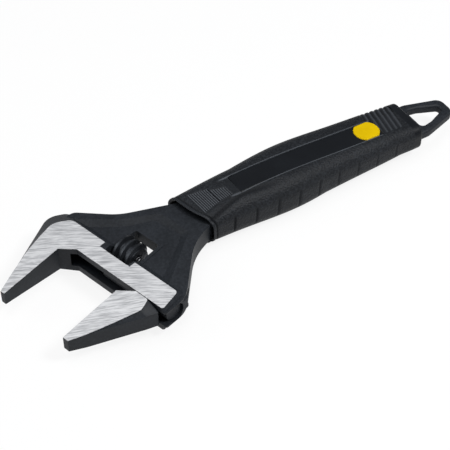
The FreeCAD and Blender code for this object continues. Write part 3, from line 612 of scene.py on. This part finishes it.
@dataclass
class GripForm:
    """The grip's outer form: a rounded section that swells and waists along the handle."""

    along: tuple[float, ...] = (68, 84, 104, 136, 165, 196.5, 204.5)
    offset: tuple[float, ...] = (-3.4, -2.6, -1.5, -0.1, 1.0, 0.4, 0.0)
    half_width: tuple[float, ...] = (13.6, 13.4, 14.7, 17.0, 15.0, 13.9, 13.7)
    half_thickness: tuple[float, ...] = (7.6, 9.0, 10.5, 11.0, 9.6, 8.1, 7.6)
    rounding: tuple[float, ...] = (0.7, 0.75, 0.8, 0.8, 0.8, 0.75, 0.7)
    handle_drop: float = 3.5

    def at(self, numbers: tuple[float, ...], place: np.ndarray) -> np.ndarray:
        """Smooth curve through one of the section's numbers.

        Args:
            numbers: The value at each station.
            place: Distances along the handle.

        Returns:
            The value at each distance.
        """
        x, y = np.array(self.along, float), np.array(numbers, float)
        step, count = np.diff(x), len(x)
        system, right = np.eye(count), np.zeros(count)
        for i in range(1, count - 1):
            system[i, i - 1:i + 2] = step[i - 1], 2 * (step[i - 1] + step[i]), step[i]
            right[i] = 6 * ((y[i + 1] - y[i]) / step[i] - (y[i] - y[i - 1]) / step[i - 1])
        bend = np.linalg.solve(system, right)
        i = np.clip(np.searchsorted(x, place) - 1, 0, count - 2)
        low, high, h = place - x[i], x[i + 1] - place, step[i]
        return (bend[i] * high ** 3 + bend[i + 1] * low ** 3) / (6 * h) + (
            y[i] / h - bend[i] * h / 6) * high + (y[i + 1] / h - bend[i + 1] * h / 6) * low

    def section(self, place: np.ndarray, turn: np.ndarray,
                panel: tuple[float, float]) -> tuple[np.ndarray, np.ndarray]:
        """Points of the sections.

        Args:
            place: Distance along the handle of every point.
            turn: Place round the section, 0 to 4: across the top panel from its far edge, round the near
                side, across the bottom panel and round the far side.
            panel: Lower and upper edge of the panel across the handle.

        Returns:
            Across and height of every point.
        """
        middle, wide = self.at(self.offset, place), self.at(self.half_width, place)
        thick = self.at(self.half_thickness, place)
        radius = self.at(self.rounding, place) * thick
        low, high = panel
        across, height = np.zeros_like(turn), np.zeros_like(turn)
        top = turn < 1
        across[top] = high + (low - high) * turn[top]
        height[top] = thick[top]
        bottom = (turn >= 2) & (turn < 3)
        across[bottom] = low + (high - low) * (turn[bottom] - 2)
        height[bottom] = -thick[bottom]
        for sign, edge, start in ((-1, low, 1.0), (1, high, 3.0)):
            chosen = (turn >= start) & (turn < start + 1)
            share = turn[chosen] - start
            rise = 1 if sign < 0 else -1
            flat = np.maximum(sign * (middle[chosen] - edge) + wide[chosen] - radius[chosen], 0.2)
            arc, side = radius[chosen] * math.pi / 2, 2 * (thick[chosen] - radius[chosen])
            run = share * (2 * flat + 2 * arc + side)
            a = np.clip(run, 0, flat)
            b = np.clip(run - flat, 0, arc) / radius[chosen]
            c = np.clip(run - flat - arc, 0, side)
            d = np.clip(run - flat - arc - side, 0, arc) / radius[chosen]
            e = np.clip(run - flat - 2 * arc - side, 0, flat)
            out = a + radius[chosen] * (np.sin(b) - (1 - np.cos(d))) - e
            drop = radius[chosen] * (1 - np.cos(b)) + c + radius[chosen] * np.sin(d)
            across[chosen] = edge + sign * out
            height[chosen] = rise * (thick[chosen] - drop)
        return across, height


@dataclass(frozen=True)
class RidgePatch:
    """A patch of fine ridges: where it starts and stops, and its upper and lower edge at each end."""

    start: float
    stop: float
    upper: tuple[float, float]
    lower: tuple[float, float]


@dataclass
class GripSkin:
    """The soft skin: its collar, ridges, grooves, ribs and the openings over the panels."""

    made: dict[Finish, bpy.types.Material]
    form: GripForm = field(default_factory=GripForm)
    front_along: float = 77.9
    front_across: float = -7.3
    front_turns: tuple[float, float] = (12.5, 31.0)
    front_soft: float = 4.5
    end: float = 204.5
    panel_middle: float = -1.1
    panel_half: float = 6.15
    panel_ends: tuple[float, float] = (104.0, 189.0)
    wall: float = 1.25
    hollow_depth: float = 0.6
    rim_line: float = 0.3
    ramp: float = 5.0
    front_fade: float = 34.0
    ring_steps: tuple[tuple[float, float], ...] = ((81.0, 0.3), (100.0, 0.19), (184.5, 0.5))
    end_step: float = 0.3
    ridge_patches: tuple[RidgePatch, ...] = (
        RidgePatch(81.3, 91.2, (5.2, 3.2), (-8.9, -6.6)), RidgePatch(91.6, 98.6, (1.8, -0.6), (-6.3, -5.9)))
    ridge_pitch: float = 1.1
    ridge_lean: float = 0.094
    ridge_top: float = 5.3
    rib_ends: tuple[float, float] = (186.6, 204.0)
    rib_edges: tuple[float, float] = (-6.8, 14.0)
    rib_pitch: float = 2.9
    rib_lean: float = 0.20
    groove_start: float = 95.0
    groove_pitch: float = 12.15
    groove_count: int = 9
    groove_depth: float = 0.7
    lip_width: float = 1.5
    lip_height: float = 0.3
    neck_at: float = 2.2
    neck_width: float = 0.45
    neck_depth: float = 0.55
    crease_along: tuple[float, ...] = (80, 85, 102.4, 106, 116, 132)
    crease_across: tuple[float, ...] = (-15.0, -13.7, -8.6, -8.7, -10.3, -12.0)
    columns: tuple[int, int] = (30, 54)
    edge_shares: tuple[float, ...] = (0.007, 0.014, 0.022)
    middle_share: float = 0.036
    smooth_angle: float = 50.0

    def front(self, across: np.ndarray) -> np.ndarray:
        """How far the front edge lies past its middle.

        Args:
            across: Place across the handle.

        Returns:
            Distance along the handle.
        """
        upper, lower = (math.tan(math.radians(turn)) for turn in self.front_turns)
        away = across - self.front_across
        mean, half = (upper + lower) / 2, (lower - upper) / 2
        return -mean * away + half * np.sqrt(away ** 2 + self.front_soft ** 2)

    def rows(self) -> np.ndarray:
        """Distances along the handle of the rings, closer where the relief is fine."""
        parts, start = [], self.front_along
        for stop, step in (*self.ring_steps, (self.end, self.end_step)):
            parts.append(np.arange(start, stop, step))
            start = stop
        return np.concatenate([*parts, np.array([self.end])])

    def build(self) -> None:
        """Make, relieve and dress the skin."""
        rows = self.rows()
        panel_columns, side_columns = self.columns
        edge = np.array(self.edge_shares)
        middle = np.linspace(self.middle_share, 1 - self.middle_share, side_columns - 2 * len(edge) - 1)
        side = np.concatenate([[0.0], edge, middle, 1 - edge[::-1]])
        panel = np.arange(panel_columns) / panel_columns
        turns = np.concatenate([panel, side + 1, panel + 2, side + 3])
        piece = self.tube(len(rows), len(turns))
        along = np.repeat(rows, len(turns))
        turn = np.tile(turns, len(rows))
        low, high = self.panel_middle - self.panel_half, self.panel_middle + self.panel_half
        across, height = self.form.section(along, turn, (low, high))
        lean = 1 - smooth_step((along - self.front_along) / self.front_fade)
        place = along + self.front(across) * lean
        across, height = self.form.section(place, turn, (low, high))
        coords = np.stack([place, across - self.form.handle_drop, height], axis=1) * MM
        piece.data.vertices.foreach_set("co", coords.ravel())
        in_edit_mode(piece, lambda: bpy.ops.mesh.normals_make_consistent(inside=False))
        relief, smooth, painted_highlight = self.relief(place, across, height)
        normals = np.zeros(len(coords) * 3)
        piece.data.vertices.foreach_get("normal", normals)
        normals = normals.reshape(-1, 3)
        piece.data.vertices.foreach_set("co", (coords + normals * relief[:, None] * MM).ravel())
        # How deep the relief is sunk, 0 to 1, kept for the painted shade in the hollows.
        painted_hollow_shade = np.clip(-relief / self.hollow_depth, 0, 1)
        for name, values in (("smooth", smooth), ("painted_hollow_shade", painted_hollow_shade), ("painted_highlight", painted_highlight)):
            attribute = piece.data.attributes.new(name, "FLOAT", "POINT")
            attribute.data.foreach_set("value", values.astype(np.float32))
        self.open_panels(piece, rows, turns)
        apply_modifier(piece, "SOLIDIFY", thickness=self.wall * MM, offset=-1, use_even_offset=False)
        smooth_by_angle(piece, self.smooth_angle)
        dress(piece, Finish.SKIN, self.made)
        settle(piece, "body", "soft_grip", "grip_skin")
        log.info("made the soft skin: %d faces", len(piece.data.polygons))

    def tube(self, rings: int, around: int) -> bpy.types.Object:
        """An open tube of rings, each vertex numbered ring by ring.

        Args:
            rings: Number of rings.
            around: Vertices in each ring.

        Returns:
            The tube.
        """
        select_nothing()
        bpy.ops.mesh.primitive_circle_add(vertices=around, radius=0.015, fill_type="NOTHING")
        piece = bpy.context.object
        piece.name = "soft_skin"
        bpy.ops.object.mode_set(mode="EDIT")
        bpy.ops.mesh.select_all(action="SELECT")
        for _ in range(rings - 1):
            bpy.ops.mesh.extrude_region_move(TRANSFORM_OT_translate={"value": (0, 0, 0.001)})
        bpy.ops.object.mode_set(mode="OBJECT")
        return piece

    def relief(self, place: np.ndarray, across: np.ndarray,
               height: np.ndarray) -> tuple[np.ndarray, np.ndarray, np.ndarray]:
        """Height of the relief on the skin, and where its surface is smooth.

        Args:
            place: Distance along the handle of every vertex.
            across: Place across the handle.
            height: Height above mid-plane.

        Returns:
            Relief in millimetres, 1 where there is no leather grain, and the painted highlight on the ridge
            and rib crests and the panel edges.
        """
        from_front = place - self.front_along - self.front(across)
        flatness = smooth_step((np.abs(height) / self.form.at(self.form.half_thickness, place) - 0.72) / 0.2)
        relief = self.collar(from_front)
        smooth = 1 - smooth_step((from_front - 1.6) / 0.8)
        painted_highlight = self.panel_rim_highlight(place, across, flatness)
        first = place - self.ridge_lean * (self.ridge_top - across)
        for patch in self.ridge_patches:
            share = np.clip((first - patch.start) / (patch.stop - patch.start), 0, 1)
            high = patch.upper[0] + (patch.upper[1] - patch.upper[0]) * share
            low = patch.lower[0] + (patch.lower[1] - patch.lower[0]) * share
            inside = band(first, patch.start, patch.stop, 0.25) * band(across, low, high, 0.45) * flatness
            wave = 0.5 - 0.5 * np.cos(2 * math.pi * (first - patch.start) / self.ridge_pitch)
            relief -= inside * (0.02 + 0.5 * (1 - wave))
            smooth = np.maximum(smooth, inside)
            # A painted highlight along each ridge's crest.
            painted_highlight = np.maximum(painted_highlight, inside * wave ** 2 * 0.85)
        over = self.over_panel(across)
        start = self.panel_ends[0]
        ramp = smooth_step((place - start + self.ramp) / self.ramp) * (place < start + 1)
        relief -= 0.3 * over * ramp * flatness
        smooth = np.maximum(smooth, over * ramp * flatness)
        relief, smooth, painted_highlight = self.end_ribs(relief, smooth, painted_highlight, place, across, flatness)
        relief = self.side_grooves(relief, place, across, height)
        relief = self.crease(relief, place, across)
        return relief, smooth, painted_highlight

    def over_panel(self, across: np.ndarray) -> np.ndarray:
        """1 between the panel's two long edges, softly 0 beside them."""
        return band(across, self.panel_middle - self.panel_half, self.panel_middle + self.panel_half, 0.3)

    def panel_rim_highlight(self, place: np.ndarray, across: np.ndarray, flatness: np.ndarray) -> np.ndarray:
        """The thin painted highlight line where the skin ends beside each panel.

        Args:
            place: Distance along the handle.
            across: Place across the handle.
            flatness: 1 on the two flats, 0 on the sides.

        Returns:
            The painted highlight, up to 0.6.
        """
        beside = np.abs(np.abs(across - self.panel_middle) - self.panel_half)
        start, stop = self.panel_ends
        return band(beside, -1, self.rim_line, 0.2) * band(place, start - 4, stop - 2, 2.0) * flatness * 0.6

    def collar(self, from_front: np.ndarray) -> np.ndarray:
        """The raised lip at the front edge and the groove behind it.

        Args:
            from_front: Distance behind the front edge.

        Returns:
            Relief in millimetres.
        """
        lip = band(from_front, -1, self.lip_width, 0.35) * self.lip_height
        groove = np.exp(-((from_front - self.neck_at) / self.neck_width) ** 2) * self.neck_depth
        edge = smooth_step(1 - from_front / 0.5) * 0.25
        return lip - groove - edge

    def end_ribs(self, relief: np.ndarray, smooth: np.ndarray, painted_highlight: np.ndarray, place: np.ndarray,
                 across: np.ndarray, flatness: np.ndarray) -> tuple[np.ndarray, np.ndarray, np.ndarray]:
        """The slanted ribs near the loop, across the flat of the grip and over its far edge.

        Args:
            relief: Relief so far.
            smooth: Where there is no grain so far.
            painted_highlight: The painted highlight on crests and panel edges so far.
            place: Distance along the handle.
            across: Place across the handle.
            flatness: 1 on the two flats, 0 on the sides.

        Returns:
            The three with the ribs added.
        """
        lean = place - self.rib_lean * (across - 6.0)
        inside = band(lean, *self.rib_ends, 0.3) * band(across, *self.rib_edges, 0.4)
        inside *= np.maximum(flatness, smooth_step((across - 3.0) / 2.0))
        wave = 0.5 - 0.5 * np.cos(2 * math.pi * (lean - self.rib_ends[0]) / self.rib_pitch)
        over_panel = self.over_panel(across)
        depth = 0.62 - 0.36 * over_panel
        relief = relief + inside * (0.2 * over_panel * wave - depth * (1 - wave) ** 1.5)
        # The third value adds a painted highlight along each rib's crest.
        return relief, np.maximum(smooth, inside * 0.8), np.maximum(painted_highlight, inside * wave ** 3 * 0.3)

    def side_grooves(self, relief: np.ndarray, place: np.ndarray, across: np.ndarray,
                     height: np.ndarray) -> np.ndarray:
        """The short grooves down both sides of the grip, fainter towards the loop.

        Args:
            relief: Relief so far.
            place: Distance along the handle.
            across: Place across the handle.
            height: Height above mid-plane.

        Returns:
            The relief with the grooves cut in.
        """
        thick = self.form.at(self.form.half_thickness, place)
        middle = self.form.at(self.form.offset, place)
        wide = self.form.at(self.form.half_width, place)
        sideness = smooth_step((np.abs(across - middle) / wide - 0.80) / 0.12)
        level = 1 - smooth_step((np.abs(height) / thick - 0.34) / 0.22)
        for number in range(self.groove_count):
            centre = self.groove_start + self.groove_pitch * number
            depth = self.groove_depth - 0.05 * number
            lean = place - centre - 0.05 * (height + thick)
            groove = np.exp(-(lean / 0.62) ** 2) * sideness * level
            relief = relief - groove * depth
        return relief

    def crease(self, relief: np.ndarray, place: np.ndarray, across: np.ndarray) -> np.ndarray:
        """The valley between the panel and the bulge on the near shoulder.

        Args:
            relief: Relief so far.
            place: Distance along the handle.
            across: Place across the handle.

        Returns:
            The relief with the valley sunk in.
        """
        route = np.interp(place, self.crease_along, self.crease_across)
        fade = smooth_step((place - 80) / 5) * (1 - smooth_step((place - 106) / 24))
        width = np.interp(place, [85, 102, 130], [0.8, 1.1, 2.2])
        valley = np.exp(-((across - route) / width) ** 2) * fade
        shelf = band(across, route, -7.3 + 0 * route, 0.8) * fade
        return relief - valley * 0.7 - shelf * 0.2

    def open_panels(self, piece: bpy.types.Object, rows: np.ndarray, turns: np.ndarray) -> None:
        """Remove the skin over the two panels.

        Args:
            piece: The tube.
            rows: Distance along the handle of each ring.
            turns: Place round the section of each column.
        """
        start, stop = self.panel_ends
        panel_columns, side_columns = self.columns
        ring = len(turns)
        doomed = []
        first, last = np.searchsorted(rows, start), np.searchsorted(rows, stop)
        tops = set(range(0, panel_columns + 1))
        below = panel_columns + side_columns
        bottoms = set(range(below, below + panel_columns + 1))
        for polygon in piece.data.polygons:
            places = [index // ring for index in polygon.vertices]
            around = {index % ring for index in polygon.vertices}
            on_panel = around <= tops or around <= bottoms
            if on_panel and min(places) >= first and max(places) <= last:
                doomed.append(polygon.index)
        select_only(piece)
        chosen = np.zeros(len(piece.data.polygons), bool)
        chosen[doomed] = True
        bpy.ops.object.mode_set(mode="EDIT")
        bpy.ops.mesh.select_all(action="DESELECT")
        bpy.ops.object.mode_set(mode="OBJECT")
        piece.data.polygons.foreach_set("select", chosen)
        bpy.ops.object.mode_set(mode="EDIT")
        bpy.ops.mesh.select_mode(type="FACE")
        bpy.ops.mesh.delete(type="FACE")
        bpy.ops.mesh.select_all(action="SELECT")
        bpy.ops.mesh.normals_make_consistent(inside=False)
        bpy.ops.object.mode_set(mode="OBJECT")


@dataclass
class GripCore:
    """The hard core with its panels and the two yellow inlays."""

    made: dict[Finish, bpy.types.Material]

    def build(self) -> None:
        """Dress the core and the inlays."""
        dress(frame["nodes"]["grip_core"], Finish.CORE, self.made)
        for node in ("inlay_top", "inlay_bottom"):
            dress(frame["nodes"][node], Finish.INLAY, self.made)
            log.info("dressed %s", node)


def smooth_step(share: np.ndarray) -> np.ndarray:
    """The smooth step of a share, held between 0 and 1."""
    held = np.clip(share, 0, 1)
    return held * held * (3 - 2 * held)


def band(values: np.ndarray, low: Any, high: Any, soft: float) -> np.ndarray:
    """1 between low and high, falling smoothly to 0 over soft outside them."""
    return smooth_step((values - low) / soft + 1) * smooth_step((high - values) / soft + 1)


def select_nothing() -> None:
    """Deselect every object."""
    for other in bpy.context.view_layer.objects:
        other.select_set(False)


# ---------------------------------------------------------------- studio


@dataclass(frozen=True)
class Lamp:
    """A square soft box and the point that it is aimed at."""

    name: str
    place: tuple[float, float, float]
    aim: tuple[float, float, float]
    size: float
    watts: float

    def add(self) -> None:
        """Hang the lamp in the scene."""
        data = bpy.data.lights.new(self.name, "AREA")
        data.size = self.size
        data.energy = self.watts
        lamp = bpy.data.objects.new(self.name, data)
        bpy.context.scene.collection.objects.link(lamp)
        lamp.location = self.place
        lamp.rotation_euler = (Vector(self.aim) - Vector(self.place)).to_track_quat("-Z", "Y").to_euler()


@dataclass
class Studio:
    """Floor, lamps, world and camera."""

    target: Vector = field(default_factory=lambda: Vector((0.0911, -0.01714, 0)))
    distance: float = 0.622
    heading: float = math.radians(31.3)
    elevation: float = math.radians(45.3)
    lens: float = 104.0
    floor_glow: float = 0.86
    floor_size: float = 120
    floor_gap: float = 0.0003
    sky: tuple[float, float, float, float] = (0.9, 0.93, 1.0, 1)
    sky_light: float = 0.2
    lamps: tuple[Lamp, ...] = (
        Lamp("overhead", (0.0, 0.0, 1.0), (0.1, 0, 0), 0.6, 4.6),
        Lamp("behind", (-0.6, 0.5, 0.6), (0.1, 0, 0), 0.6, 2.2),
        Lamp("shoulder", (0.42, -0.40, 0.72), (0.12, 0, 0), 0.22, 4.9),
    )

    def build(self) -> None:
        """Set the whole studio up."""
        self.add_floor()
        self.add_lamps()
        self.add_world()
        self.add_camera()
        bpy.context.scene.view_settings.view_transform = "Standard"

    def add_floor(self) -> None:
        """A plain white floor just under the grip."""
        select_nothing()
        low = CAD_BOX[0]
        middle = (0.1, 0, low.z - self.floor_gap)
        bpy.ops.mesh.primitive_plane_add(size=self.floor_size, location=middle)
        floor = bpy.context.object
        floor.name = "floor"
        graph = Graph("floor_paper")
        grain = graph.noise(300, 2, 0.5)
        graph.drive("Base Color", graph.blend(grain, (0.86, 0.86, 0.86), (0.88, 0.88, 0.88)))
        graph.fix(Roughness=0.9, Specular_IOR_Level=0.1)
        rays = graph.tree.nodes.new("ShaderNodeLightPath")
        seen = Signal(graph, rays.outputs["Is Camera Ray"])
        for kind in ("Is Glossy Ray", "Is Transmission Ray"):
            seen = seen.larger(Signal(graph, rays.outputs[kind]))
        glow = graph.tree.nodes.new("ShaderNodeEmission")
        glow.inputs["Strength"].default_value = 1.0
        both = graph.tree.nodes.new("ShaderNodeMixShader")
        graph.tree.links.new((seen * self.floor_glow).socket, both.inputs[0])
        graph.tree.links.new(graph.shader.outputs[0], both.inputs[1])
        graph.tree.links.new(glow.outputs[0], both.inputs[2])
        graph.tree.links.new(both.outputs[0], graph.tree.nodes["Material Output"].inputs["Surface"])
        floor.data.materials.append(graph.material)

    def add_lamps(self) -> None:
        """A large soft box overhead, one behind the jaws and a small one for the near shoulder."""
        for lamp in self.lamps:
            lamp.add()

    def add_world(self) -> None:
        """A dim pale world for the light, seen as plain white by the camera."""
        world = bpy.data.worlds.new("studio")
        bpy.context.scene.world = world
        world.use_nodes = True
        nodes, links = world.node_tree.nodes, world.node_tree.links
        dim = nodes["Background"]
        dim.inputs["Color"].default_value = self.sky
        dim.inputs["Strength"].default_value = self.sky_light
        backdrop = nodes.new("ShaderNodeBackground")
        backdrop.inputs["Color"].default_value = (1, 1, 1, 1)
        both = nodes.new("ShaderNodeMixShader")
        links.new(nodes.new("ShaderNodeLightPath").outputs["Is Camera Ray"], both.inputs[0])
        links.new(dim.outputs[0], both.inputs[1])
        links.new(backdrop.outputs[0], both.inputs[2])
        links.new(both.outputs[0], nodes["World Output"].inputs["Surface"])

    def add_camera(self) -> None:
        """The camera, over the near side and looking along the handle."""
        data = bpy.data.cameras.new("camera")
        data.lens = self.lens
        data.sensor_width = 36.0
        data.clip_start, data.clip_end = 0.01, 50
        camera = bpy.data.objects.new("camera", data)
        bpy.context.scene.collection.objects.link(camera)
        right = Vector((math.cos(self.heading), -math.sin(self.heading), 0))
        away = Vector((math.sin(self.heading), math.cos(self.heading), 0))
        ahead = away * math.cos(self.elevation) - Vector((0, 0, math.sin(self.elevation)))
        up = right.cross(ahead)
        place = self.target - ahead * self.distance
        rotation = Matrix((right, up, -ahead)).transposed()
        camera.matrix_world = Matrix.Translation(place) @ rotation.to_4x4()
        bpy.context.scene.camera = camera


def main() -> None:
    """Build the studio and every piece."""
    logging.basicConfig(level=logging.INFO, format="%(name)s: %(message)s")
    made: dict[Finish, bpy.types.Material] = {}
    for assembly in (Studio(), MetalWork(made), GripSkin(made), GripCore(made)):
        assembly.build()


if __name__ == "__main__":
    main()
